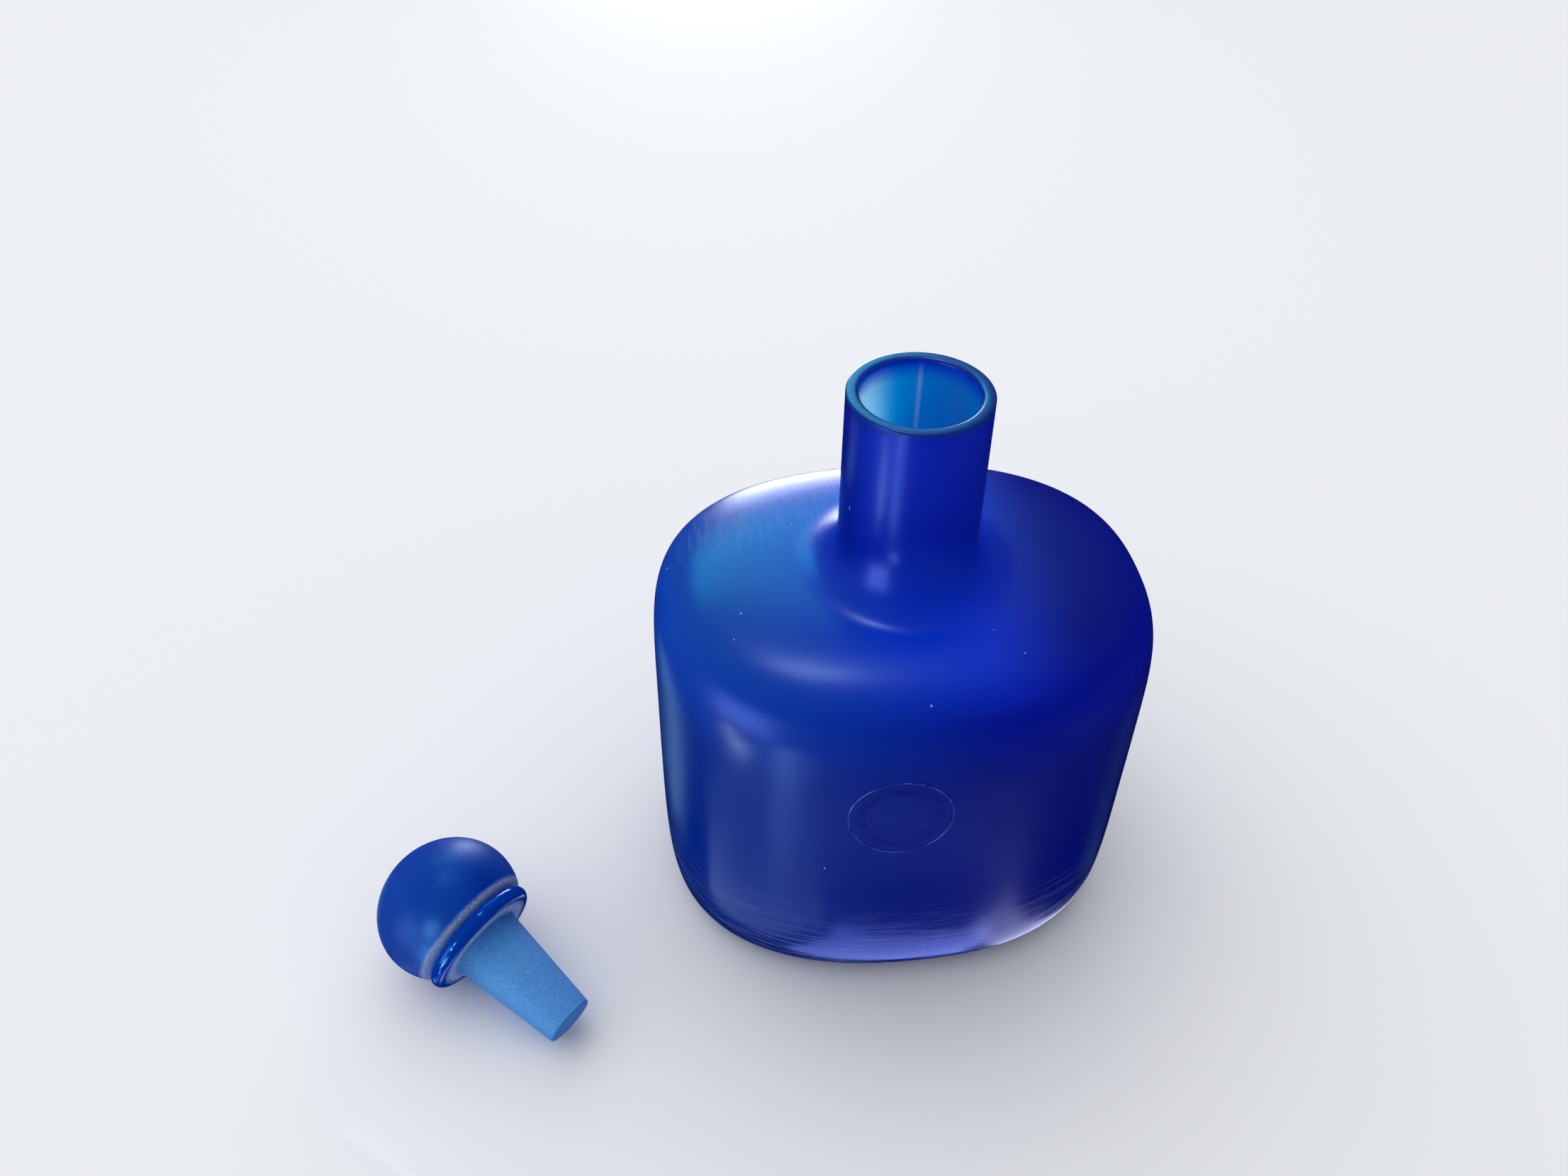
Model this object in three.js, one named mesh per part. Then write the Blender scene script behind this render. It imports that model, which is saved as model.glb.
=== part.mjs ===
// A hand-blown flask of blue glass, with a loose ground-glass stopper that lies beside it.
// Millimetres, +Z up. The origin is the middle of the flask's flat foot, and its wide side lies along X.
import * as THREE from "three";

// ---- Flask ----
const MOUTH_HEIGHT = 170;
const NECK_RADIUS = 18.6; // at the lip
const NECK_FLARE = 0.15; // the neck is this much wider where it leaves the shoulder
const BORE_RADIUS = 15.2;
const LIP_OUTER_ROUND = 0.6;
const LIP_INNER_ROUND = 1.1;
const BODY_HALF_WIDTH = 69.4;
const BODY_HALF_DEPTH = 59.1;
const WIDEST_HEIGHT = 74.2; // where the body is widest
const SHOULDER_HEIGHT = 116.6; // top of the body, under the neck
const WALL = 4;
const FLOOR_THICKNESS = 8;
const FOOT_INSET_X = 11.5; // the foot is this much narrower than the body, at each end
const FOOT_INSET_Y = 25.8; // and at the front and the back
const FOOT_CURVE = 5.2; // exponent of the body's curve down to the foot
const SHOULDER_CURVE_X = 6.3; // exponents of the body's curve up to the shoulder
const SHOULDER_CURVE_Y = 4.4;
const PLAN_CURVE = 2.38; // exponent of the body's plan: 2 is an ellipse
const NECK_FILLET_WIDTH = 12; // the sweep from the shoulder up into the neck
const NECK_FILLET_HEIGHT = 9;
const BORE_FILLET_WIDTH = 6; // the same sweep on the inside
const BORE_FILLET_HEIGHT = 5;

// ---- Stopper, measured along its own axis from the tip of its plug ----
const PLUG_LENGTH = 34;
const PLUG_TIP_RADIUS = 7.36;
const PLUG_TOP_RADIUS = 10.8;
const TIP_ROUND = 0.7;
const RING_THICKNESS = 4.6;
const RING_RADIUS = 17.98;
const GROOVE_RADIUS = 15.8;
const GROOVE_WIDTH = 0.8;
const KNOB_RADIUS = 21;
const KNOB_HALF_HEIGHT = 19.7;
const KNOB_MIDDLE = 48.7; // height of the knob's middle above the tip

// ---- Where the stopper lies: its plug's tip and its knob both touch the ground ----
const TIP_X = -99.5;
const TIP_Y = -64.8;
const HEADING = THREE.MathUtils.degToRad(136.8); // the way from the tip to the knob, from +X
const TILT = restingTilt();

// ---- How finely the round shapes are cut ----
const FLASK_SIDES = 56;
const STOPPER_SIDES = 44;
const FOOT_STEPS = 10;
const SHOULDER_STEPS = 9;
const CROWN_STEPS = 7;
// How much of the curve of the shoulder, in radians, is left to the crown. The crown has to start outside the
// sweep into the neck.
const CROWN_REACH = 0.4;
const FILLET_STEPS = 4;
const ROUND_STEPS = 3;
const RING_STEPS = 6;
const KNOB_STEPS = 16;

// How far the plug's rounded tip reaches below the tip's middle when the stopper lies at a tilt.
function tipReach(tilt) {
  return (PLUG_TIP_RADIUS - TIP_ROUND) * Math.cos(tilt) - TIP_ROUND * Math.sin(tilt) + TIP_ROUND;
}

// The tilt at which the plug's tip and the knob both touch the ground, found by repeating the same step.
function restingTilt() {
  let tilt = 0;
  for (let i = 0; i < 40; i++) {
    const knobReach = Math.hypot(KNOB_RADIUS * Math.cos(tilt), KNOB_HALF_HEIGHT * Math.sin(tilt));
    tilt = Math.asin((knobReach - tipReach(tilt)) / KNOB_MIDDLE);
  }
  return tilt;
}

function signedPower(value, exponent) {
  return Math.sign(value) * Math.abs(value) ** exponent;
}

// A quarter of a superellipse: how much of the full width is left at a share of the full height.
function widthLeft(share, exponent) {
  return (1 - Math.min(1, share) ** exponent) ** (1 / exponent);
}

// The half-width and half-depth of a body at one height. The flask's outside and its hollow are both bodies.
function halfSizes(body, z) {
  if (z >= body.widest) {
    const share = (z - body.widest) / (body.roof - body.widest);
    return {
      x: body.halfWidth * widthLeft(share, SHOULDER_CURVE_X),
      y: body.halfDepth * widthLeft(share, SHOULDER_CURVE_Y),
    };
  }
  const share = (body.widest - z) / (body.widest - body.floor);
  const inset = 1 - widthLeft(share, FOOT_CURVE);
  return {
    x: body.halfWidth - FOOT_INSET_X * inset,
    y: body.halfDepth - FOOT_INSET_Y * inset,
  };
}

// The height of a body's crown over a point of its plan, found by halving.
function crownHeight(body, x, y) {
  let low = body.widest;
  let high = body.roof;
  for (let i = 0; i < 40; i++) {
    const middle = (low + high) / 2;
    const half = halfSizes(body, middle);
    const reach = Math.abs(x / half.x) ** PLAN_CURVE + Math.abs(y / half.y) ** PLAN_CURVE;
    if (reach < 1) low = middle;
    else high = middle;
  }
  return low;
}

// How much the sweep into the neck lifts the crown at a distance from the axis.
function filletRise(body, radius) {
  const share = (body.neckRadius + body.filletWidth - radius) / body.filletWidth;
  if (share <= 0) return 0;
  return body.filletHeight * (1 - Math.sqrt(1 - Math.min(1, share) ** 2));
}

function angles(sides) {
  return Array.from({ length: sides }, (_, i) => (i / sides) * 2 * Math.PI);
}

function circleRing(radius, z) {
  return angles(FLASK_SIDES).map(
    (a) => new THREE.Vector3(radius * Math.cos(a), radius * Math.sin(a), z),
  );
}

function bodyRing(body, z) {
  const half = halfSizes(body, z);
  return angles(FLASK_SIDES).map(
    (a) =>
      new THREE.Vector3(
        half.x * signedPower(Math.cos(a), 2 / PLAN_CURVE),
        half.y * signedPower(Math.sin(a), 2 / PLAN_CURVE),
        z,
      ),
  );
}

// A ring part of the way from the body's last level ring to the neck, laid on the crown.
function crownRing(body, outerRing, innerRadius, share) {
  return circleRing(innerRadius, 0).map((inner, i) => {
    const p = outerRing[i].clone().lerp(inner, share);
    p.z = crownHeight(body, p.x, p.y) + filletRise(body, Math.hypot(p.x, p.y));
    return p;
  });
}

// All rings of a body, from its floor to where its neck starts.
function bodyRings(body) {
  const rings = [];
  for (let i = 0; i < FOOT_STEPS; i++) {
    const angle = (Math.PI / 2) * (1 - i / FOOT_STEPS) ** 1.4;
    const share = Math.sin(angle) ** (2 / FOOT_CURVE);
    rings.push(bodyRing(body, body.widest - share * (body.widest - body.floor)));
  }
  const steepness = (SHOULDER_CURVE_X + SHOULDER_CURVE_Y) / 2;
  const lastAngle = Math.PI / 2 - CROWN_REACH;
  for (let i = 0; i < SHOULDER_STEPS; i++) {
    const angle = lastAngle * (i / (SHOULDER_STEPS - 1)) ** 1.4;
    const share = Math.sin(angle) ** (2 / steepness);
    rings.push(bodyRing(body, body.widest + share * (body.roof - body.widest)));
  }
  const lastLevel = rings[rings.length - 1];
  const filletStart = body.neckRadius + body.filletWidth;
  for (let i = 1; i <= CROWN_STEPS; i++) {
    rings.push(crownRing(body, lastLevel, filletStart, i / CROWN_STEPS));
  }
  const filletFoot = circleRing(filletStart, 0);
  for (let i = 1; i <= FILLET_STEPS; i++) {
    const sweep = Math.sin(((Math.PI / 2) * i) / FILLET_STEPS);
    rings.push(crownRing(body, filletFoot, body.neckRadius, sweep));
  }
  return rings;
}

// The rings over the lip, from the neck's outside to the bore.
function lipRings() {
  const rings = [];
  for (let i = 0; i <= ROUND_STEPS; i++) {
    const angle = ((Math.PI / 2) * i) / ROUND_STEPS;
    const radius = NECK_RADIUS - LIP_OUTER_ROUND * (1 - Math.cos(angle));
    rings.push(circleRing(radius, MOUTH_HEIGHT - LIP_OUTER_ROUND * (1 - Math.sin(angle))));
  }
  for (let i = 0; i <= ROUND_STEPS; i++) {
    const angle = ((Math.PI / 2) * i) / ROUND_STEPS;
    const radius = BORE_RADIUS + LIP_INNER_ROUND * (1 - Math.sin(angle));
    rings.push(circleRing(radius, MOUTH_HEIGHT - LIP_INNER_ROUND * (1 - Math.cos(angle))));
  }
  return rings;
}

// One closed surface through a stack of rings, closed by a point in the middle of its first and last ring.
function closedSkin(rings, firstMiddle, lastMiddle) {
  const sides = rings[0].length;
  const points = rings.flat();
  const first = points.push(firstMiddle) - 1;
  const last = points.push(lastMiddle) - 1;
  const lastRing = (rings.length - 1) * sides;
  const faces = [];
  for (let j = 0; j < sides; j++) {
    const k = (j + 1) % sides;
    faces.push(first, k, j);
    faces.push(last, lastRing + j, lastRing + k);
    for (let i = 0; i < lastRing; i += sides) {
      faces.push(i + j, i + k, i + sides + k);
      faces.push(i + j, i + sides + k, i + sides + j);
    }
  }
  return new THREE.BufferGeometry().setFromPoints(points).setIndex(faces);
}

function flaskGeometry() {
  const outside = {
    halfWidth: BODY_HALF_WIDTH,
    halfDepth: BODY_HALF_DEPTH,
    floor: 0,
    widest: WIDEST_HEIGHT,
    roof: SHOULDER_HEIGHT,
    neckRadius: NECK_RADIUS + NECK_FLARE,
    filletWidth: NECK_FILLET_WIDTH,
    filletHeight: NECK_FILLET_HEIGHT,
  };
  const hollow = {
    halfWidth: BODY_HALF_WIDTH - WALL,
    halfDepth: BODY_HALF_DEPTH - WALL,
    floor: FLOOR_THICKNESS,
    widest: WIDEST_HEIGHT,
    roof: SHOULDER_HEIGHT - WALL,
    neckRadius: BORE_RADIUS,
    filletWidth: BORE_FILLET_WIDTH,
    filletHeight: BORE_FILLET_HEIGHT,
  };
  const rings = [...bodyRings(outside), ...lipRings(), ...bodyRings(hollow).reverse()];
  const skin = closedSkin(rings, new THREE.Vector3(), new THREE.Vector3(0, 0, FLOOR_THICKNESS));
  skin.computeVertexNormals();
  return skin;
}

// A profile's points along an ellipse, from one angle to another.
function arc(middleRadius, middleHeight, reachOut, reachUp, from, to, steps) {
  return Array.from({ length: steps + 1 }, (_, i) => {
    const angle = from + ((to - from) * i) / steps;
    const radius = middleRadius + reachOut * Math.cos(angle);
    return new THREE.Vector2(radius, middleHeight + reachUp * Math.sin(angle));
  });
}

// The ball of the knob, from a height above the groove to its top.
function knobProfile(bottom) {
  const start = Math.asin((bottom - KNOB_MIDDLE) / KNOB_HALF_HEIGHT);
  const profile = arc(0, KNOB_MIDDLE, KNOB_RADIUS, KNOB_HALF_HEIGHT, start, Math.PI / 2, KNOB_STEPS);
  profile[KNOB_STEPS].x = 0;
  return profile;
}

function stopperGeometry() {
  const ringHalf = RING_THICKNESS / 2;
  const ringMiddle = PLUG_LENGTH + ringHalf;
  const ringTop = PLUG_LENGTH + RING_THICKNESS;
  const profile = [
    new THREE.Vector2(0, 0),
    ...arc(PLUG_TIP_RADIUS - TIP_ROUND, TIP_ROUND, TIP_ROUND, TIP_ROUND, -Math.PI / 2, 0, ROUND_STEPS),
    new THREE.Vector2(PLUG_TOP_RADIUS, PLUG_LENGTH),
    ...arc(RING_RADIUS - ringHalf, ringMiddle, ringHalf, ringHalf, -Math.PI / 2, Math.PI / 2, RING_STEPS),
    new THREE.Vector2(GROOVE_RADIUS, ringTop),
    new THREE.Vector2(GROOVE_RADIUS, ringTop + GROOVE_WIDTH / 2),
    ...knobProfile(ringTop + GROOVE_WIDTH),
  ];
  return new THREE.LatheGeometry(profile, STOPPER_SIDES).rotateX(Math.PI / 2);
}

function glass(color, roughness) {
  return new THREE.MeshStandardMaterial({ color, roughness, metalness: 0 });
}

function makeFlask() {
  const flask = new THREE.Mesh(flaskGeometry(), glass(0x1c2f9a, 0.28));
  flask.name = "bottle";
  return flask;
}

// The stopper lying on its side: tipped over from upright, then turned to its heading.
function makeStopper() {
  const stopper = new THREE.Mesh(stopperGeometry(), glass(0x24389c, 0.32));
  stopper.name = "stopper";
  stopper.rotation.y = Math.PI / 2 - TILT;
  const place = new THREE.Group();
  place.rotation.z = HEADING;
  place.position.set(TIP_X, TIP_Y, tipReach(TILT));
  place.add(stopper);
  return place;
}

const part = new THREE.Group();
part.add(makeFlask());
part.add(makeStopper());

export default part;
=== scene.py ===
"""A stoppered bottle of satin cobalt-blue glass, with its loose stopper lying beside it."""

import math

import bpy
from mathutils import Euler, Matrix, Vector, noise


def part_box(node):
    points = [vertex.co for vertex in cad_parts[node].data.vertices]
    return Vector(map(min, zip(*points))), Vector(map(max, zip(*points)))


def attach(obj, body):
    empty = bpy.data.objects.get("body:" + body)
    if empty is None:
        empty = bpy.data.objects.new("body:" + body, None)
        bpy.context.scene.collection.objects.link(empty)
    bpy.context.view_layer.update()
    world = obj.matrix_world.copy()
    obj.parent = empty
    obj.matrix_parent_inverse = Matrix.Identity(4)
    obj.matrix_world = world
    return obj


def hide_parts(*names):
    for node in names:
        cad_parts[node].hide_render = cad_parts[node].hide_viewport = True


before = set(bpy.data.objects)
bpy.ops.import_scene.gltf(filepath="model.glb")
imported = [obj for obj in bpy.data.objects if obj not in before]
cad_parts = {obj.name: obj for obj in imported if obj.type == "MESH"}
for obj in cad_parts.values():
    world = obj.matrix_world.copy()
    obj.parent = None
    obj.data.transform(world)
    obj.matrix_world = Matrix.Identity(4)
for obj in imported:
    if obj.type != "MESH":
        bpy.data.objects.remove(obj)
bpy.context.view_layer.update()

MM = 0.001

# ---- Bottle, sized from the frame ----
BOTTLE_LOW, BOTTLE_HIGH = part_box("bottle")
MOUTH_HEIGHT = BOTTLE_HIGH.z
BODY_HALF_WIDTH = BOTTLE_HIGH.x
BODY_HALF_DEPTH = BOTTLE_HIGH.y
NECK_RADIUS = 18.6 * MM
NECK_FLARE = 0.15 * MM
BORE_RADIUS = 15.2 * MM
LIP_OUTER_ROUND = 0.6 * MM
LIP_INNER_ROUND = 1.1 * MM
WIDEST_HEIGHT = 74.2 * MM
SHOULDER_HEIGHT = 116.6 * MM
WALL = 4 * MM
FLOOR_THICKNESS = 8 * MM
FOOT_INSET_X = 11.5 * MM
FOOT_INSET_Y = 25.8 * MM
FOOT_CURVE = 5.2
SHOULDER_CURVE_X = 6.3
SHOULDER_CURVE_Y = 4.4
PLAN_CURVE = 2.38
NECK_FILLET = (12 * MM, 9 * MM)  # width and height of the sweep into the neck
NECK_FRONT_RISE = 11 * MM  # how much higher the sweep runs up the front of the neck
BORE_FILLET = (6 * MM, 5 * MM)
BLOWN_UNEVENNESS = 0.35 * MM  # the most that the hot glass pulled in, here and there
BLOWN_SCALE = 22  # how closely that changes from place to place, per metre
BLOWN_SEED = 3.1
TRUE_RADIUS = 45 * MM  # from here in to the neck, the unevenness fades out

# ---- Stopper, along its own axis from the tip of its plug ----
PLUG_LENGTH = 34 * MM
PLUG_TIP_RADIUS = 7.36 * MM
PLUG_TOP_RADIUS = 10.8 * MM
TIP_ROUND = 0.7 * MM
RING_THICKNESS = 4.6 * MM
RING_RADIUS = 17.98 * MM
GROOVE_RADIUS = 15.8 * MM
GROOVE_WIDTH = 0.8 * MM
KNOB_RADIUS = 21 * MM
KNOB_HALF_HEIGHT = 19.7 * MM
KNOB_MIDDLE = 48.7 * MM
KNOB_FOOT = PLUG_LENGTH + RING_THICKNESS + GROOVE_WIDTH
TIP_PLACE = (-99.5 * MM, -64.8 * MM)
HEADING = math.radians(136.8)

# ---- How finely the round shapes are cut ----
BOTTLE_SIDES = 224
CROWN_REACH = 0.4  # how much of the shoulder's curve, in radians, is left to the crown
STOPPER_SIDES = 160
ROUND_FIT = 0.9975  # draws the stopper in, so its rounder outline stays inside the coarser CAD one
MARK_SIDES = 120

# ---- The plain round mark on the bottle's front ----
MARK_X = -8.6 * MM
MARK_HEIGHT = 78.7 * MM
MARK_RADIUS = 13.7 * MM
MARK_TUBE_RADIUS = 0.16 * MM
MARK_TUBE_SIDES = 8
MARK_SHADE_RADIUS = 10.3 * MM
MARK_SHADE_EDGE = (2.2 * MM, 0.4 * MM)

# ---- Where the bottle's look changes. Each pair runs from none of it to all of it ----
# painted shade and light by height: the body is darker below and brighter on its face and crown
FACE_HEIGHTS = (84 * MM, 108 * MM)
CROWN_HEIGHTS = (106 * MM, 118 * MM)
LIP_HEIGHTS = (MOUTH_HEIGHT - 1.6 * MM, MOUTH_HEIGHT - 0.6 * MM)
FOOT_GLOSS_HEIGHTS = (90 * MM, 26 * MM)
FOOT_WEAR_HEIGHTS = (45 * MM, 12 * MM)
CROWN_WEAR_HEIGHTS = (100 * MM, 114 * MM)
CROWN_WEAR_END = (121 * MM, 118 * MM)
CROWN_WEAR_BACK = (0, 25 * MM)
CROWN_WEAR_LEFT = (0, -30 * MM)
# painted light: the body is paler towards the left, the side the light comes from
PAINTED_LIGHT_SIDE = (30 * MM, -70 * MM)
# painted sheen on the crown's front, fading to painted shade towards its right
CROWN_SHEEN_SIDE = (45 * MM, 12 * MM)
# painted shade down the left of the neck
NECK_SHADED_SIDE = (-11 * MM, -18 * MM)
# painted light on the left of the bore, on top of the lamp's real light
BORE_LIT_SIDE = (13 * MM, 1 * MM)
BORE_PAINTED_LIGHT_SIDE = (-2 * MM, -12 * MM)
# painted highlight: a pale line down the back of the bore
BORE_HIGHLIGHT_X = 3 * MM  # a pale line down the back of the bore
BORE_HIGHLIGHT_EDGE = (0.9 * MM, 0.2 * MM)
BOTTLE_SATIN = (0.29, 0.33)

# ---- Where the stopper's look changes, along its own axis ----
PLUG_DARKENS = (22 * MM, 33 * MM)
TIP_FLAT = (0.7 * MM, 0.2 * MM)
KNOB_FOOT_ABOVE = 1.6 * MM
KNOB_FOOT_BELOW = 0.6 * MM
STOPPER_SATIN = (0.4, 0.46)

# ---- Colours of the glass, as linear red, green, blue, alpha ----
# painted shade: the deep blue of the lower body
LOW_SHADED_BLUE = (0.0, 0.006, 0.31, 1)
# painted light: the paler blues that the body takes towards its left
LOW_PAINTED_LIGHT = (0.0, 0.03, 0.35, 1)
FACE_BLUE = (0.0, 0.005, 0.45, 1)
FACE_PAINTED_LIGHT = (0.0, 0.065, 0.54, 1)
# painted shade on the crown's right and a painted sheen on its front
CROWN_SHADED = (0.0, 0.004, 0.25, 1)
CROWN_PAINTED_SHEEN = (0.0, 0.042, 0.98, 1)
CROWN_PAINTED_LIGHT = (0.0, 0.075, 0.42, 1)
CLOUD_BLUE = (0.0, 0.02, 0.4, 1)
NECK_BLUE = (0.0, 0.022, 0.68, 1)
# painted shade for the left of the neck
NECK_SHADED = (0.0, 0.01, 0.42, 1)
LIP_BLUE = (0.002, 0.05, 0.36, 1)
BORE_BLUE = (0.0, 0.34, 0.66, 1)
# painted light on the left of the bore
BORE_LIT = (0.0, 0.68, 0.95, 1)
BORE_PAINTED_LIGHT = (0.45, 1.0, 1.0, 1)
# painted highlight down the back of the bore
BORE_HIGHLIGHT_PALE = (0.8, 1.0, 1.0, 1)
WEAR_PALE = (0.3, 0.4, 0.8, 1)
MARK_SHADE_BLUE = (0.0, 0.004, 0.3, 1)
CHIP_PALE = (0.45, 0.75, 1.0, 1)
MARK_BLUE = (0.0, 0.012, 0.3, 1)
MARK_WORN = (0.04, 0.1, 0.5, 1)
KNOB_BLUE = (0.0, 0.045, 0.42, 1)
KNOB_BRIGHT = (0.001, 0.06, 0.5, 1)
RING_BLUE = (0.0, 0.055, 0.52, 1)
PLUG_BLUE = (0.08, 0.33, 0.75, 1)
PLUG_BRIGHT = (0.16, 0.45, 0.9, 1)
PLUG_DEEP = (0.02, 0.14, 0.52, 1)
PLUG_GRAIN = (0.45, 0.62, 0.9, 1)
TIP_BLUE = (0.03, 0.19, 0.5, 1)
JOINT_PALE = (0.6, 0.75, 0.95, 1)
GLASS_IOR = 1.5
GLASS_SPECULAR = 0.05
BOTTLE_VOLUME = ((0.0, 0.8, 0.93), 500)  # what the glass lets through, and how dense it is
STOPPER_VOLUME = ((0.0, 0.6, 0.91), 200)

# ---- The light ----
STAGE_MIDDLE = Vector((-0.02, -0.02, 0.07))
ROOM_DIM = 0.45
ROOM_BRIGHT = 1.47
BOTTLE_SHEEN_TINT = (0.4, 0.6, 1.0, 1)  # keeps the sheens blue
STOPPER_SHEEN_TINT = (0.15, 0.6, 1.0, 1)
FLOOR_HALF = 6.0
FLOOR_DROP = 0.3 * MM
BORE_LIGHT_AIM = Vector((-2 * MM, 1 * MM, 166 * MM))
BORE_LIGHT_DISTANCE = 0.35
RING_SHEEN_MIDDLE = Vector((-129.7 * MM, -52.4 * MM, 30.2 * MM))
KNOB_SHEEN_MIDDLE = Vector((-128 * MM, -64 * MM, 25 * MM))

# ---- The photograph's viewpoint ----
CAMERA_PLACE = (-66.2 * MM, -273.2 * MM, 352.8 * MM)
CAMERA_YAW = math.radians(-6.93)
CAMERA_PITCH = math.radians(-41.62)
CAMERA_ROLL = math.radians(1.02)
CAMERA_LENS = 30.92


def quarter(share, exponent):
    """How much of a superellipse's full width is left at a share of its full height."""
    return (1 - min(1, share) ** exponent) ** (1 / exponent)


def signed_power(value, exponent):
    return math.copysign(abs(value) ** exponent, value)


class Vessel:
    """The bottle's outside or its hollow: a body of superellipse sections with a round neck."""

    def __init__(self, inset, floor, roof, neck_radius, fillet, front_rise=0):
        self.half_width = BODY_HALF_WIDTH - inset
        self.half_depth = BODY_HALF_DEPTH - inset
        self.floor = floor
        self.roof = roof
        self.neck_radius = neck_radius
        self.fillet_width, self.fillet_height = fillet
        self.front_rise = front_rise

    def halves(self, z):
        if z >= WIDEST_HEIGHT:
            share = (z - WIDEST_HEIGHT) / (self.roof - WIDEST_HEIGHT)
            half_x = self.half_width * quarter(share, SHOULDER_CURVE_X)
            half_y = self.half_depth * quarter(share, SHOULDER_CURVE_Y)
            return half_x, half_y
        share = (WIDEST_HEIGHT - z) / (WIDEST_HEIGHT - self.floor)
        inset = 1 - quarter(share, FOOT_CURVE)
        return self.half_width - FOOT_INSET_X * inset, self.half_depth - FOOT_INSET_Y * inset

    def crown(self, x, y):
        """The height of the shoulder over a point, with the sweep into the neck."""
        low, high = WIDEST_HEIGHT, self.roof
        for _ in range(36):
            middle = (low + high) / 2
            half_x, half_y = self.halves(middle)
            across, deep = abs(x / max(half_x, 1e-9)), abs(y / max(half_y, 1e-9))
            reach = across**PLAN_CURVE + deep**PLAN_CURVE
            if reach < 1:
                low = middle
            else:
                high = middle
        radius = math.hypot(x, y)
        share = min(1, max(0, (self.neck_radius + self.fillet_width - radius) / self.fillet_width))
        rise = self.fillet_height + self.front_rise * max(0, -y / radius) ** 2
        return low + rise * (1 - math.sqrt(1 - share**2))

    def level_ring(self, z):
        half_x, half_y = self.halves(z)
        ring = []
        for i in range(BOTTLE_SIDES):
            angle = 2 * math.pi * i / BOTTLE_SIDES
            x = half_x * signed_power(math.cos(angle), 2 / PLAN_CURVE)
            y = half_y * signed_power(math.sin(angle), 2 / PLAN_CURVE)
            ring.append((x, y, z))
        return ring

    def crown_ring(self, outer, radius, share):
        ring = []
        for i, point in enumerate(outer):
            angle = 2 * math.pi * i / BOTTLE_SIDES
            x = point[0] + (radius * math.cos(angle) - point[0]) * share
            y = point[1] + (radius * math.sin(angle) - point[1]) * share
            ring.append((x, y, self.crown(x, y)))
        return ring

    def rings(self, foot_steps, shoulder_steps, crown_steps, fillet_steps):
        rings = []
        for i in range(foot_steps):
            angle = math.pi / 2 * (1 - i / foot_steps) ** 1.4
            share = math.sin(angle) ** (2 / FOOT_CURVE)
            rings.append(self.level_ring(WIDEST_HEIGHT - share * (WIDEST_HEIGHT - self.floor)))
        steepness = (SHOULDER_CURVE_X + SHOULDER_CURVE_Y) / 2
        last_angle = math.pi / 2 - CROWN_REACH
        for i in range(shoulder_steps):
            angle = last_angle * (i / (shoulder_steps - 1)) ** 1.4
            share = math.sin(angle) ** (2 / steepness)
            rings.append(self.level_ring(WIDEST_HEIGHT + share * (self.roof - WIDEST_HEIGHT)))
        last_level = rings[-1]
        start = self.neck_radius + self.fillet_width
        for i in range(1, crown_steps + 1):
            rings.append(self.crown_ring(last_level, start, i / crown_steps))
        sweep_foot = circle_ring(start, 0)
        for i in range(1, fillet_steps + 1):
            share = math.sin(math.pi / 2 * i / fillet_steps)
            rings.append(self.crown_ring(sweep_foot, self.neck_radius, share))
        return rings


def circle_ring(radius, z):
    ring = []
    for i in range(BOTTLE_SIDES):
        angle = 2 * math.pi * i / BOTTLE_SIDES
        ring.append((radius * math.cos(angle), radius * math.sin(angle), z))
    return ring


def neck_rings(first, to_radius, to_height, steps):
    """The rings between the ring that a sweep ends in and the ring that a lip starts in."""
    last = circle_ring(to_radius, to_height)
    rings = []
    for i in range(1, steps):
        rings.append([tuple(Vector(a).lerp(Vector(b), i / steps)) for a, b in zip(first, last)])
    return rings


def lip_rings(steps):
    rings = []
    for i in range(steps + 1):
        angle = math.pi / 2 * i / steps
        radius = NECK_RADIUS - LIP_OUTER_ROUND * (1 - math.cos(angle))
        rings.append(circle_ring(radius, MOUTH_HEIGHT - LIP_OUTER_ROUND * (1 - math.sin(angle))))
    for i in range(steps + 1):
        angle = math.pi / 2 * i / steps
        radius = BORE_RADIUS + LIP_INNER_ROUND * (1 - math.sin(angle))
        rings.append(circle_ring(radius, MOUTH_HEIGHT - LIP_INNER_ROUND * (1 - math.cos(angle))))
    return rings


def mesh_from_rings(name, rings, masks):
    """A closed mesh through a stack of rings. masks gives each ring's values for the material."""
    sides = len(rings[0])
    points = [p for ring in rings for p in ring]
    faces = []
    for row in range(len(rings) - 1):
        for i in range(sides):
            k = (i + 1) % sides
            a, b = row * sides + i, row * sides + k
            faces.append((a, b, b + sides, a + sides))
    faces.append(tuple(reversed(range(sides))))
    last = (len(rings) - 1) * sides
    faces.append(tuple(range(last, last + sides)))
    mesh = bpy.data.meshes.new(name)
    mesh.from_pydata(points, [], faces)
    for mask, values in masks.items():
        layer = mesh.attributes.new(mask, "FLOAT", "POINT")
        layer.data.foreach_set("value", [v for v in values for _ in range(sides)])
    mesh.update()
    return smooth_piece(mesh)


def smooth_piece(mesh):
    mesh.polygons.foreach_set("use_smooth", [True] * len(mesh.polygons))
    piece = bpy.data.objects.new(mesh.name, mesh)
    bpy.context.scene.collection.objects.link(piece)
    return piece


def capped(rings, steps):
    """The same rings, with smaller ones inside the first, so that its flat end is evenly cut."""
    first = rings[0]
    inner = []
    for i in range(1, steps + 1):
        share = i / (steps + 1)
        inner.append([(x * share, y * share, z) for x, y, z in first])
    return inner + rings


def smooth(value, low, high):
    share = min(1, max(0, (value - low) / (high - low)))
    return share * share * (3 - 2 * share)


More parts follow.
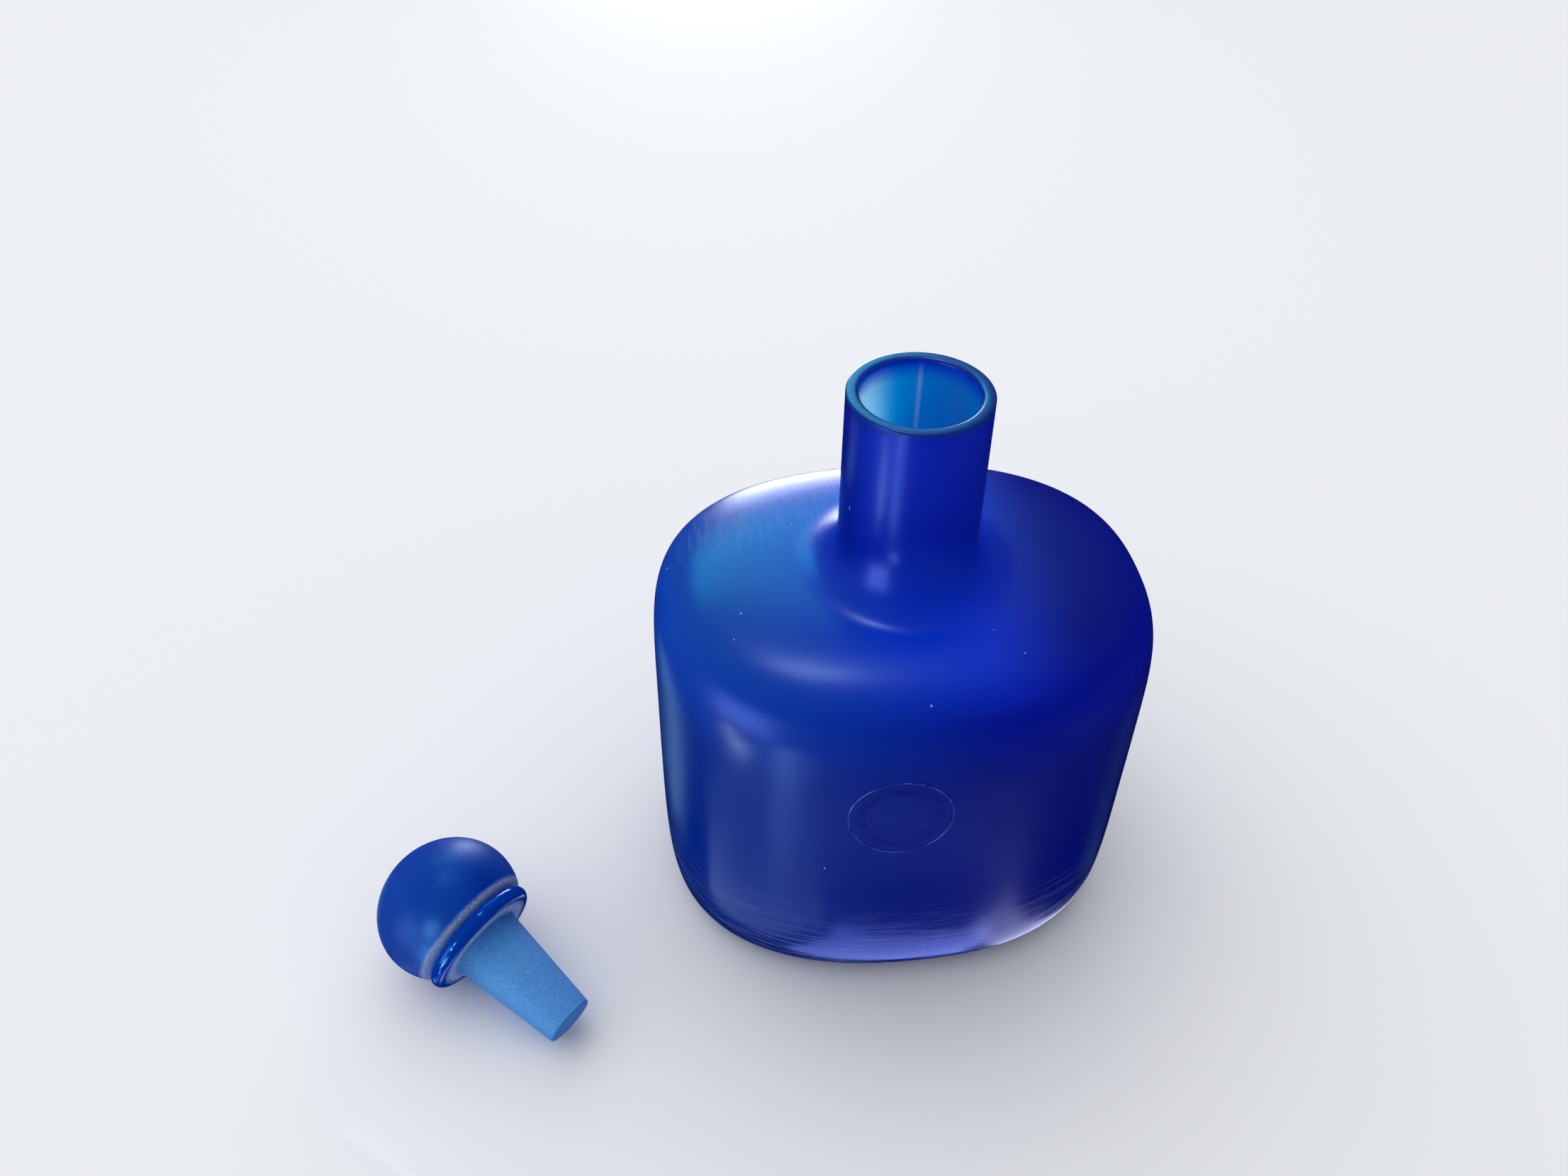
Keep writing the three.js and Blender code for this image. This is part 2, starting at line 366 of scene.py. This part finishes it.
def uneven(point):
    """A point pulled in towards the axis a little, as hand-blown glass is never quite true."""
    pull = 0.5 + 0.5 * noise.noise(Vector(point) * BLOWN_SCALE + Vector((BLOWN_SEED, 0, 0)))
    radius = math.hypot(point[0], point[1])
    if radius < 1e-6:
        return point
    reach = BLOWN_UNEVENNESS * smooth(radius, NECK_RADIUS + NECK_FLARE, TRUE_RADIUS)
    keep = 1 - reach * min(1, max(0, pull)) / radius
    return (point[0] * keep, point[1] * keep, point[2])


def make_bottle():
    neck_foot = NECK_RADIUS + NECK_FLARE
    outside = Vessel(0, 0, SHOULDER_HEIGHT, neck_foot, NECK_FILLET, NECK_FRONT_RISE)
    hollow = Vessel(WALL, FLOOR_THICKNESS, SHOULDER_HEIGHT - WALL, BORE_RADIUS, BORE_FILLET)
    outer = capped(outside.rings(40, 30, 24, 18), 6)
    outer += neck_rings(outer[-1], NECK_RADIUS, MOUTH_HEIGHT - LIP_OUTER_ROUND, 14)
    outer = [[uneven(p) for p in ring] for ring in outer]
    lip = lip_rings(6)
    inner = capped(hollow.rings(26, 20, 14, 8), 4)
    inner += neck_rings(inner[-1], BORE_RADIUS, MOUTH_HEIGHT - LIP_INNER_ROUND, 10)
    inner.reverse()
    inside = [0] * len(outer) + [0] * len(lip) + [1] * len(inner)
    rings = outer + lip + inner
    neck_from, neck_full = SHOULDER_HEIGHT - 4 * MM, SHOULDER_HEIGHT + 14 * MM
    neck = [smooth(ring[0][2], neck_from, neck_full) for ring in rings]
    return mesh_from_rings("bottle_glass", rings, {"inside": inside, "neck": neck})


def front_point(x, z):
    """The outside of the bottle's front wall."""
    half_x, half_y = Vessel(0, 0, SHOULDER_HEIGHT, 0, (0, 0)).halves(z)
    y = -half_y * (1 - abs(x / half_x) ** PLAN_CURVE) ** (1 / PLAN_CURVE)
    return Vector(uneven((x, y, z)))


def make_mark():
    """The fine raised ring round the mark on the front, half sunk in the wall."""
    points = []
    for i in range(MARK_SIDES):
        angle = 2 * math.pi * i / MARK_SIDES
        out = Vector((math.cos(angle), 0, math.sin(angle)))
        middle = front_point(MARK_X + MARK_RADIUS * out.x, MARK_HEIGHT + MARK_RADIUS * out.z)
        for k in range(MARK_TUBE_SIDES):
            turn = 2 * math.pi * k / MARK_TUBE_SIDES
            around = math.cos(turn) * out + math.sin(turn) * Vector((0, -1, 0))
            points.append(middle + MARK_TUBE_RADIUS * around)
    faces = []
    for i in range(MARK_SIDES):
        here, there = i * MARK_TUBE_SIDES, (i + 1) % MARK_SIDES * MARK_TUBE_SIDES
        for k in range(MARK_TUBE_SIDES):
            m = (k + 1) % MARK_TUBE_SIDES
            faces.append((here + k, here + m, there + m, there + k))
    mesh = bpy.data.meshes.new("bottle_mark")
    mesh.from_pydata(points, [], faces)
    return smooth_piece(mesh)


def tip_reach(tilt):
    return (PLUG_TIP_RADIUS - TIP_ROUND) * math.cos(tilt) - TIP_ROUND * math.sin(tilt) + TIP_ROUND


def resting_tilt():
    tilt = 0
    for _ in range(40):
        sideways, endways = KNOB_RADIUS * math.cos(tilt), KNOB_HALF_HEIGHT * math.sin(tilt)
        knob_reach = math.hypot(sideways, endways)
        tilt = math.asin((knob_reach - tip_reach(tilt)) / KNOB_MIDDLE)
    return tilt


def arc(middle, reach, start, end, steps):
    profile = []
    for i in range(steps + 1):
        angle = start + (end - start) * i / steps
        across = middle[0] + reach[0] * math.cos(angle)
        profile.append((across, middle[1] + reach[1] * math.sin(angle)))
    return profile


def stopper_profile():
    """(radius, height, frost, ring) from the plug's tip to the top of the knob."""
    half = RING_THICKNESS / 2
    ring_top = PLUG_LENGTH + RING_THICKNESS
    quarter_turn = math.pi / 2
    profile = []
    for i in range(1, 9):
        profile.append(((PLUG_TIP_RADIUS - TIP_ROUND) * i / 9, 0, 1, 0))
    tip = arc((PLUG_TIP_RADIUS - TIP_ROUND, TIP_ROUND), (TIP_ROUND, TIP_ROUND), -quarter_turn, 0, 6)
    profile += [(r, s, 1, 0) for r, s in tip]
    for i in range(1, 40):
        share = i / 40
        radius = PLUG_TIP_RADIUS + (PLUG_TOP_RADIUS - PLUG_TIP_RADIUS) * share
        profile.append((radius, TIP_ROUND + (PLUG_LENGTH - TIP_ROUND) * share, 1, 0))
    for i in range(8):
        radius = PLUG_TOP_RADIUS + (RING_RADIUS - half - PLUG_TOP_RADIUS) * i / 8
        profile.append((radius, PLUG_LENGTH, 1 - i / 8, i / 8))
    bulge_middle = (RING_RADIUS - half, PLUG_LENGTH + half)
    bulge = arc(bulge_middle, (half, half), -quarter_turn, quarter_turn, 18)
    profile += [(r, s, 0, 1) for r, s in bulge]
    profile.append((GROOVE_RADIUS, ring_top, 0.6, 0.3))
    profile.append((GROOVE_RADIUS, ring_top + GROOVE_WIDTH / 2, 1, 0))
    knob_half = KNOB_HALF_HEIGHT * ROUND_FIT
    start = math.asin((ring_top + GROOVE_WIDTH - KNOB_MIDDLE) / knob_half)
    knob = arc((0, KNOB_MIDDLE), (KNOB_RADIUS, knob_half), start, quarter_turn - 0.01, 64)
    profile += [(r, s, 0, 0) for r, s in knob]
    return profile


def make_stopper():
    profile = stopper_profile()
    tilt = resting_tilt()
    lay = Matrix.Translation((*TIP_PLACE, tip_reach(tilt)))
    lay = lay @ Matrix.Rotation(HEADING, 4, "Z") @ Matrix.Rotation(math.pi / 2 - tilt, 4, "Y")
    rings = []
    for radius, height, _, _ in profile:
        radius *= ROUND_FIT
        ring = []
        for i in range(STOPPER_SIDES):
            angle = 2 * math.pi * i / STOPPER_SIDES
            point = Vector((radius * math.cos(angle), radius * math.sin(angle), height))
            ring.append(tuple(lay @ point))
        rings.append(ring)
    masks = {}
    for mask, column in {"frost": 2, "ring": 3, "along": 1}.items():
        masks[mask] = [p[column] for p in profile]
    return mesh_from_rings("stopper_glass", rings, masks)


class Nodes:
    """Short calls for building one material's node tree."""

    def __init__(self, name):
        self.material = bpy.data.materials.new(name)
        self.material.use_nodes = True
        self.tree = self.material.node_tree
        self.shader = self.tree.nodes["Principled BSDF"]
        self.output = self.tree.nodes["Material Output"]

    def add(self, kind, **settings):
        node = self.tree.nodes.new(kind)
        for key, value in settings.items():
            setattr(node, key, value)
        return node

    def link(self, source, target):
        self.tree.links.new(source, target)

    def plug(self, node, values):
        for socket, value in values.items():
            if isinstance(value, bpy.types.NodeSocket):
                self.link(value, node.inputs[socket])
            else:
                node.inputs[socket].default_value = value

    def math(self, operation, a, b=0.0, clamp=False):
        node = self.add("ShaderNodeMath", operation=operation, use_clamp=clamp)
        self.plug(node, {0: a, 1: b})
        return node.outputs[0]

    def product(self, *values):
        result = values[0]
        for value in values[1:]:
            result = self.math("MULTIPLY", result, value)
        return result

    def ramp(self, value, low, high, to_low=0.0, to_high=1.0):
        node = self.add("ShaderNodeMapRange", interpolation_type="SMOOTHSTEP")
        self.plug(node, {"Value": value, "From Min": low, "From Max": high})
        self.plug(node, {"To Min": to_low, "To Max": to_high})
        return node.outputs["Result"]

    def attribute(self, name):
        return self.add("ShaderNodeAttribute", attribute_name=name).outputs["Fac"]

    def place(self, stretch=(1, 1, 1), turn=(0, 0, 0)):
        coordinates = self.add("ShaderNodeTexCoord").outputs["Object"]
        mapping = self.add("ShaderNodeMapping")
        self.plug(mapping, {"Vector": coordinates, "Rotation": turn, "Scale": stretch})
        return mapping.outputs[0]

    def noise(self, vector, scale, detail=2.0, rough=0.5):
        node = self.add("ShaderNodeTexNoise")
        self.plug(node, {"Vector": vector, "Scale": scale, "Detail": detail, "Roughness": rough})
        return node.outputs["Fac"]

    def coordinates(self):
        node = self.add("ShaderNodeSeparateXYZ")
        self.link(self.add("ShaderNodeTexCoord").outputs["Object"], node.inputs[0])
        return node.outputs

    def specks(self, scale, size):
        """Tiny chips, where the surface passes close to a point of a coarse pattern."""
        node = self.add("ShaderNodeTexVoronoi")
        self.plug(node, {"Vector": self.place((1, 1, 0.6)), "Scale": scale})
        return self.ramp(node.outputs["Distance"], size, size * 0.6)

    def bump(self, height, distance):
        node = self.add("ShaderNodeBump")
        self.plug(node, {"Height": height, "Distance": distance, "Strength": 1.0})
        return node.outputs[0]

    def mix_color(self, factor, a, b):
        node = self.add("ShaderNodeMix", data_type="RGBA")
        self.plug(node, {0: factor, 6: a, 7: b})
        return node.outputs[2]


def glass_volume(nodes, color, density):
    """Blue glass takes out red first, then green."""
    volume = nodes.add("ShaderNodeVolumeAbsorption")
    nodes.plug(volume, {"Color": (*color, 1), "Density": density})
    nodes.link(volume.outputs[0], nodes.output.inputs["Volume"])


def glass_shader(nodes, color, roughness, transmission, normal, sheen_tint):
    nodes.plug(
        nodes.shader,
        {
            "Base Color": color,
            "Roughness": roughness,
            "IOR": GLASS_IOR,
            "Specular IOR Level": GLASS_SPECULAR,
            "Specular Tint": sheen_tint,
            "Transmission Weight": transmission,
            "Normal": normal,
        },
    )


def body_color(nodes, across, height, cloud):
    """The body: deep blue below as painted shade, brighter on the crown as a painted sheen, and
    paler to the left as painted light.
    """
    # painted light: paler towards the left
    pale = nodes.ramp(across, *PAINTED_LIGHT_SIDE)
    low = nodes.mix_color(pale, LOW_SHADED_BLUE, LOW_PAINTED_LIGHT)
    face = nodes.mix_color(pale, FACE_BLUE, FACE_PAINTED_LIGHT)
    # painted sheen on the crown's front, painted shade towards its right
    crown = nodes.mix_color(nodes.ramp(across, *CROWN_SHEEN_SIDE), CROWN_SHADED, CROWN_PAINTED_SHEEN)
    crown = nodes.mix_color(pale, crown, CROWN_PAINTED_LIGHT)
    # painted shade: darker below the face
    color = nodes.mix_color(nodes.ramp(height, *FACE_HEIGHTS), low, face)
    color = nodes.mix_color(nodes.ramp(height, *CROWN_HEIGHTS), color, crown)
    return nodes.mix_color(nodes.ramp(cloud, 0.4, 0.75, 0.0, 0.2), color, CLOUD_BLUE)


def outer_color(nodes, across, height, neck, cloud):
    # painted shade down the neck's left side
    neck_color = nodes.mix_color(nodes.ramp(across, *NECK_SHADED_SIDE), NECK_BLUE, NECK_SHADED)
    color = nodes.mix_color(neck, body_color(nodes, across, height, cloud), neck_color)
    return nodes.mix_color(nodes.ramp(height, *LIP_HEIGHTS), color, LIP_BLUE)


def bore_color(nodes, across, deep, neck):
    """The bore, palest on the left as painted light, with a painted highlight: a pale line down its
    back.
    """
    back = nodes.math("GREATER_THAN", deep, 0.0)
    away = nodes.math("ABSOLUTE", nodes.math("SUBTRACT", across, BORE_HIGHLIGHT_X))
    # painted highlight: the pale line down the back of the bore
    line = nodes.product(nodes.ramp(away, *BORE_HIGHLIGHT_EDGE), neck, back)
    # painted light: the bore is lighter and paler towards its left
    color = nodes.mix_color(nodes.ramp(across, *BORE_LIT_SIDE), BORE_BLUE, BORE_LIT)
    color = nodes.mix_color(nodes.ramp(across, *BORE_PAINTED_LIGHT_SIDE), color, BORE_PAINTED_LIGHT)
    return nodes.mix_color(nodes.product(line, 0.7), color, BORE_HIGHLIGHT_PALE)


def bottle_wear(nodes, across, deep, height):
    """Brushed scratches round the foot, and hatched ones on the back left of the crown."""
    brushed = nodes.noise(nodes.place((50, 50, 1500)), 1, 2, 0.6)
    hatched = nodes.noise(nodes.place((2100, 90, 90), (0.0, 0.0, 0.8)), 1, 2, 0.6)
    foot_height = nodes.ramp(height, *FOOT_WEAR_HEIGHTS)
    foot = nodes.product(foot_height, nodes.ramp(brushed, 0.42, 0.7, 0.0, 1.6))
    crown = nodes.product(
        nodes.ramp(height, *CROWN_WEAR_HEIGHTS),
        nodes.ramp(height, *CROWN_WEAR_END),
        nodes.ramp(deep, *CROWN_WEAR_BACK),
        nodes.ramp(hatched, 0.45, 0.8),
        nodes.ramp(across, *CROWN_WEAR_LEFT),
    )
    return nodes.math("ADD", foot, crown)


def bottle_roughness(nodes, height, cloud, inside, neck, wear):
    """Satin, glossier towards the foot and in the bore, and duller where it is worn."""
    satin = nodes.ramp(cloud, 0.3, 0.7, *BOTTLE_SATIN)
    satin = nodes.math("SUBTRACT", satin, nodes.product(neck, 0.02))
    foot_gloss = nodes.ramp(height, *FOOT_GLOSS_HEIGHTS, 0.0, 0.4)
    satin = nodes.math("SUBTRACT", satin, nodes.product(foot_gloss, foot_gloss))
    satin = nodes.math("ADD", satin, nodes.product(wear, 0.1))
    return nodes.product(satin, nodes.math("SUBTRACT", 1.0, nodes.product(inside, 0.5)))


def bottle_material():
    nodes = Nodes("bottle_glass")
    inside = nodes.attribute("inside")
    neck = nodes.attribute("neck")
    outside = nodes.math("SUBTRACT", 1.0, inside)
    across, deep, height = nodes.coordinates()
    cloud = nodes.noise(nodes.place(), 22, 3)
    fine = nodes.noise(nodes.place(), 1400, 2)
    outer = outer_color(nodes, across, height, neck, cloud)
    color = nodes.mix_color(inside, outer, bore_color(nodes, across, deep, neck))
    wear = nodes.product(bottle_wear(nodes, across, deep, height), outside)
    color = nodes.mix_color(nodes.product(wear, 0.22), color, WEAR_PALE)
    color = nodes.mix_color(mark_shade(nodes, across, deep, height), color, MARK_SHADE_BLUE)
    chips = nodes.product(nodes.specks(95, 0.034), outside)
    color = nodes.mix_color(nodes.product(chips, 0.9), color, CHIP_PALE)
    roughness = bottle_roughness(nodes, height, cloud, inside, neck, wear)
    transmission = nodes.math("ADD", 0.35, nodes.product(neck, 0.2))
    relief = nodes.math("ADD", nodes.product(wear, 1.5), nodes.product(fine, 0.5))
    normal = nodes.bump(nodes.product(relief, outside), 0.005 * MM)
    glass_shader(nodes, color, roughness, transmission, normal, BOTTLE_SHEEN_TINT)
    glass_volume(nodes, *BOTTLE_VOLUME)
    return nodes.material


def mark_shade(nodes, across, deep, height):
    """A faint blotchy ring, darker than the glass, inside the round mark on the front."""
    side = nodes.math("SUBTRACT", across, MARK_X)
    rise = nodes.math("SUBTRACT", height, MARK_HEIGHT)
    squares = nodes.math("ADD", nodes.product(side, side), nodes.product(rise, rise))
    radius = nodes.math("SQRT", squares)
    gap = nodes.math("ABSOLUTE", nodes.math("SUBTRACT", radius, MARK_SHADE_RADIUS))
    band = nodes.ramp(gap, *MARK_SHADE_EDGE)
    blotches = nodes.ramp(nodes.noise(nodes.place(), 260, 2), 0.36, 0.6, 0.25, 1.0)
    front = nodes.math("LESS_THAN", deep, 0.0)
    return nodes.product(band, blotches, front)


def mark_material():
    nodes = Nodes("mark_glass")
    worn = nodes.noise(nodes.place(), 300, 2)
    color = nodes.mix_color(nodes.ramp(worn, 0.4, 0.65), MARK_BLUE, MARK_WORN)
    roughness = nodes.ramp(worn, 0.3, 0.7, 0.15, 0.3)
    nodes.plug(nodes.shader, {"Base Color": color, "Roughness": roughness, "IOR": GLASS_IOR})
    return nodes.material


def plug_color(nodes, along, grain):
    """The plug's ground surface: grainy, deeper towards the ring and on the tip's flat end."""
    color = nodes.mix_color(nodes.ramp(grain, 0.35, 0.7), PLUG_BLUE, PLUG_BRIGHT)
    color = nodes.mix_color(nodes.ramp(along, *PLUG_DARKENS, 0.0, 0.55), color, PLUG_DEEP)
    color = nodes.mix_color(nodes.ramp(grain, 0.6, 0.72, 0.0, 0.5), color, PLUG_GRAIN)
    return nodes.mix_color(nodes.ramp(along, *TIP_FLAT, 0.0, 0.8), color, TIP_BLUE)


def stopper_joints(nodes, frost, ring, along, grain):
    """Pale frost in the corners beside the ring and round the foot of the knob."""
    corners = nodes.math("MULTIPLY", nodes.product(frost, ring), 4.0, clamp=True)
    above = nodes.ramp(along, KNOB_FOOT + KNOB_FOOT_ABOVE, KNOB_FOOT)
    below = nodes.ramp(along, KNOB_FOOT - KNOB_FOOT_BELOW, KNOB_FOOT)
    joints = nodes.math("MAXIMUM", corners, nodes.product(above, below, 0.8))
    return nodes.product(joints, nodes.ramp(grain, 0.35, 0.6, 0.3, 0.9))


def stopper_material():
    nodes = Nodes("stopper_glass")
    frost = nodes.attribute("frost")
    ring = nodes.attribute("ring")
    along = nodes.attribute("along")
    cloud = nodes.noise(nodes.place(), 60, 3)
    fine = nodes.noise(nodes.place(), 3800, 2)
    grain = nodes.noise(nodes.place(), 1700, 3, 0.7)
    knob_color = nodes.mix_color(nodes.ramp(cloud, 0.3, 0.7), KNOB_BLUE, KNOB_BRIGHT)
    color = nodes.mix_color(frost, knob_color, plug_color(nodes, along, grain))
    color = nodes.mix_color(nodes.product(ring, 0.8), color, RING_BLUE)
    joints = stopper_joints(nodes, frost, ring, along, grain)
    color = nodes.mix_color(joints, color, JOINT_PALE)
    rough = nodes.ramp(cloud, 0.3, 0.7, *STOPPER_SATIN)
    rough = nodes.math("ADD", rough, nodes.product(frost, 0.2))
    rough = nodes.math("SUBTRACT", rough, nodes.product(ring, 0.33), clamp=True)
    relief = nodes.math("ADD", nodes.product(fine, 0.3), nodes.product(grain, frost))
    normal = nodes.bump(relief, 0.02 * MM)
    glass_shader(nodes, color, rough, 0.3, normal, STOPPER_SHEEN_TINT)
    glass_volume(nodes, *STOPPER_VOLUME)
    return nodes.material


def floor_material():
    nodes = Nodes("pale_floor")
    nodes.plug(nodes.shader, {"Base Color": (0.835, 0.845, 0.865, 1), "Roughness": 0.9})
    nodes.plug(nodes.shader, {"Specular IOR Level": 0.1})
    return nodes.material


def make_floor():
    half = FLOOR_HALF
    mesh = bpy.data.meshes.new("floor")
    corners = [(-half, -half, 0), (half, -half, 0), (half, half, 0), (-half, half, 0)]
    mesh.from_pydata(corners, [], [(0, 1, 2, 3)])
    floor = bpy.data.objects.new("floor", mesh)
    floor.location.z = -FLOOR_DROP
    floor.visible_glossy = False
    floor.visible_shadow = False
    bpy.context.scene.collection.objects.link(floor)
    mesh.materials.append(floor_material())


def area_light(name, place, target, size, radiance, color=(1, 1, 1)):
    data = bpy.data.lights.new(name, "AREA")
    data.shape = "RECTANGLE"
    data.size, data.size_y = size
    data.energy = radiance * math.pi * size[0] * size[1]
    data.color = color
    light = bpy.data.objects.new(name, data)
    bpy.context.scene.collection.objects.link(light)
    light.location = place
    aim = Vector(target) - Vector(place)
    light.rotation_euler = aim.to_track_quat("-Z", "Y").to_euler()
    light.visible_camera = False
    return light


def reflector(
    name, azimuth, elevation, width, height, radiance, color, middle=STAGE_MIDDLE, distance=1.0
):
    """A tinted card that shows only in the glass, as a sheen or through it.

    Its place and its size are in degrees, as seen from the middle.
    """
    place = middle + distance * direction(azimuth, elevation)
    width, height = (2 * distance * math.tan(math.radians(angle / 2)) for angle in (width, height))
    card = area_light(name, place, middle, (width, height), radiance, color)
    card.visible_diffuse = False
    card.visible_volume_scatter = False


def direction(azimuth, elevation):
    azimuth, elevation = math.radians(azimuth), math.radians(elevation)
    level = math.cos(elevation)
    return Vector((level * math.cos(azimuth), level * math.sin(azimuth), math.sin(elevation)))


def soft_room():
    """An even studio room, brighter towards the window behind on the left."""
    world = bpy.data.worlds.new("soft_room")
    bpy.context.scene.world = world
    world.use_nodes = True
    tree = world.node_tree
    toward = tree.nodes.new("ShaderNodeVectorMath")
    toward.operation = "DOT_PRODUCT"
    toward.inputs[1].default_value = direction(125, 35)
    tree.links.new(tree.nodes.new("ShaderNodeTexCoord").outputs["Generated"], toward.inputs[0])
    strength = tree.nodes.new("ShaderNodeMapRange")
    strength.interpolation_type = "SMOOTHSTEP"
    values = {"From Min": -0.3, "From Max": 1.0, "To Min": ROOM_DIM, "To Max": ROOM_BRIGHT}
    for socket, value in values.items():
        strength.inputs[socket].default_value = value
    tree.links.new(toward.outputs["Value"], strength.inputs["Value"])
    background = tree.nodes["Background"]
    background.inputs["Color"].default_value = (0.975, 0.985, 1.0, 1)
    tree.links.new(strength.outputs["Result"], background.inputs["Strength"])
    world.cycles.sampling_method = "NONE"
    world.cycles_visibility.glossy = False


def bore_light():
    """Light that falls down the neck onto the left of the bore."""
    data = bpy.data.lights.new("bore_light", "SPOT")
    data.energy = 11.0
    data.spot_size = math.radians(4.6)
    data.spot_blend = 0.6
    data.shadow_soft_size = 4 * MM
    light = bpy.data.objects.new("bore_light", data)
    bpy.context.scene.collection.objects.link(light)
    toward = direction(-25, 62)
    light.location = BORE_LIGHT_AIM + BORE_LIGHT_DISTANCE * toward
    light.rotation_euler = toward.to_track_quat("Z", "Y").to_euler()
    light.visible_camera = False
    light.visible_glossy = False
    light.visible_transmission = False


def light_scene():
    soft_room()
    window = area_light("window", (-1.7, 2.0, 1.5), (0, 0, 0.05), (1.6, 1.2), 0.6)
    window.visible_glossy = False
    window.visible_transmission = False
    bore_light()
    # name, azimuth, elevation, width, height, radiance, colour
    reflector("window_sheen", 88, 5, 16, 30, 18.0, (0.88, 0.92, 0.95))
    reflector("sky_sheen", 97, 37, 34, 11, 12.0, (0.1, 0.95, 1.0))
    reflector("neck_sheen", -128, -39, 6, 14, 19.0, (0.4, 0.6, 1.0))
    reflector("neck_foot_sheen", -124, -24, 8, 8, 26.0, (0.5, 0.65, 1.0))
    reflector("left_sheen", -147, 4, 32, 34, 13.0, (0.5, 0.55, 1.0))
    reflector("left_foot_sheen", -148, -58, 44, 14, 1.6, (0.4, 0.6, 1.0))
    reflector("face_sheen", 110, 77, 10, 8, 56.0, (1.0, 0.95, 1.0))
    reflector("crescent_sheen", -22, 51, 60, 10, 1.5, (0.2, 0.2, 1.0))
    reflector("crescent_end_sheen", 50, 43, 30, 10, 0.6, (0.2, 0.2, 1.0))
    reflector("foot_sheen", -70, -74, 30, 24, 5.5, (0.24, 0.32, 1.0))
    reflector("foot_corner_sheen", 4, -66, 50, 10, 2.8, (0.6, 0.6, 1.0))
    reflector("left_rim_sheen", 140, -40, 16, 20, 1.4, (0.35, 0.75, 1.0))
    reflector("right_rim_sheen", 20, -44, 14, 16, 0.1, (0.35, 0.75, 1.0))
    # the stopper's own two cards stand close to it, so that the bottle doesn't show them
    reflector("ring_sheen", -119, 24, 5, 22, 180.0, (0.9, 0.9, 1.0), RING_SHEEN_MIDDLE, 40 * MM)
    reflector("knob_sheen", -127, -18, 32, 30, 22.0, (0.8, 1.0, 1.0), KNOB_SHEEN_MIDDLE, 45 * MM)
    bpy.context.scene.view_settings.view_transform = "Standard"


def make_camera():
    data = bpy.data.cameras.new("camera")
    data.lens = CAMERA_LENS
    data.sensor_width = 36
    camera = bpy.data.objects.new("camera", data)
    aim = Euler((math.pi / 2 + CAMERA_PITCH, 0, CAMERA_YAW), "XYZ").to_matrix()
    aim = aim @ Matrix.Rotation(CAMERA_ROLL, 3, "Z")
    camera.matrix_world = Matrix.Translation(CAMERA_PLACE) @ aim.to_4x4()
    bpy.context.scene.collection.objects.link(camera)
    bpy.context.scene.camera = camera


def finish_piece(piece, body, node, material):
    piece.data.materials.append(material)
    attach(piece, body)
    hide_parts(node)


make_camera()
make_floor()
light_scene()
finish_piece(make_bottle(), "bottle", "bottle", bottle_material())
mark = make_mark()
mark.data.materials.append(mark_material())
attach(mark, "bottle")
finish_piece(make_stopper(), "stopper", "stopper", stopper_material())
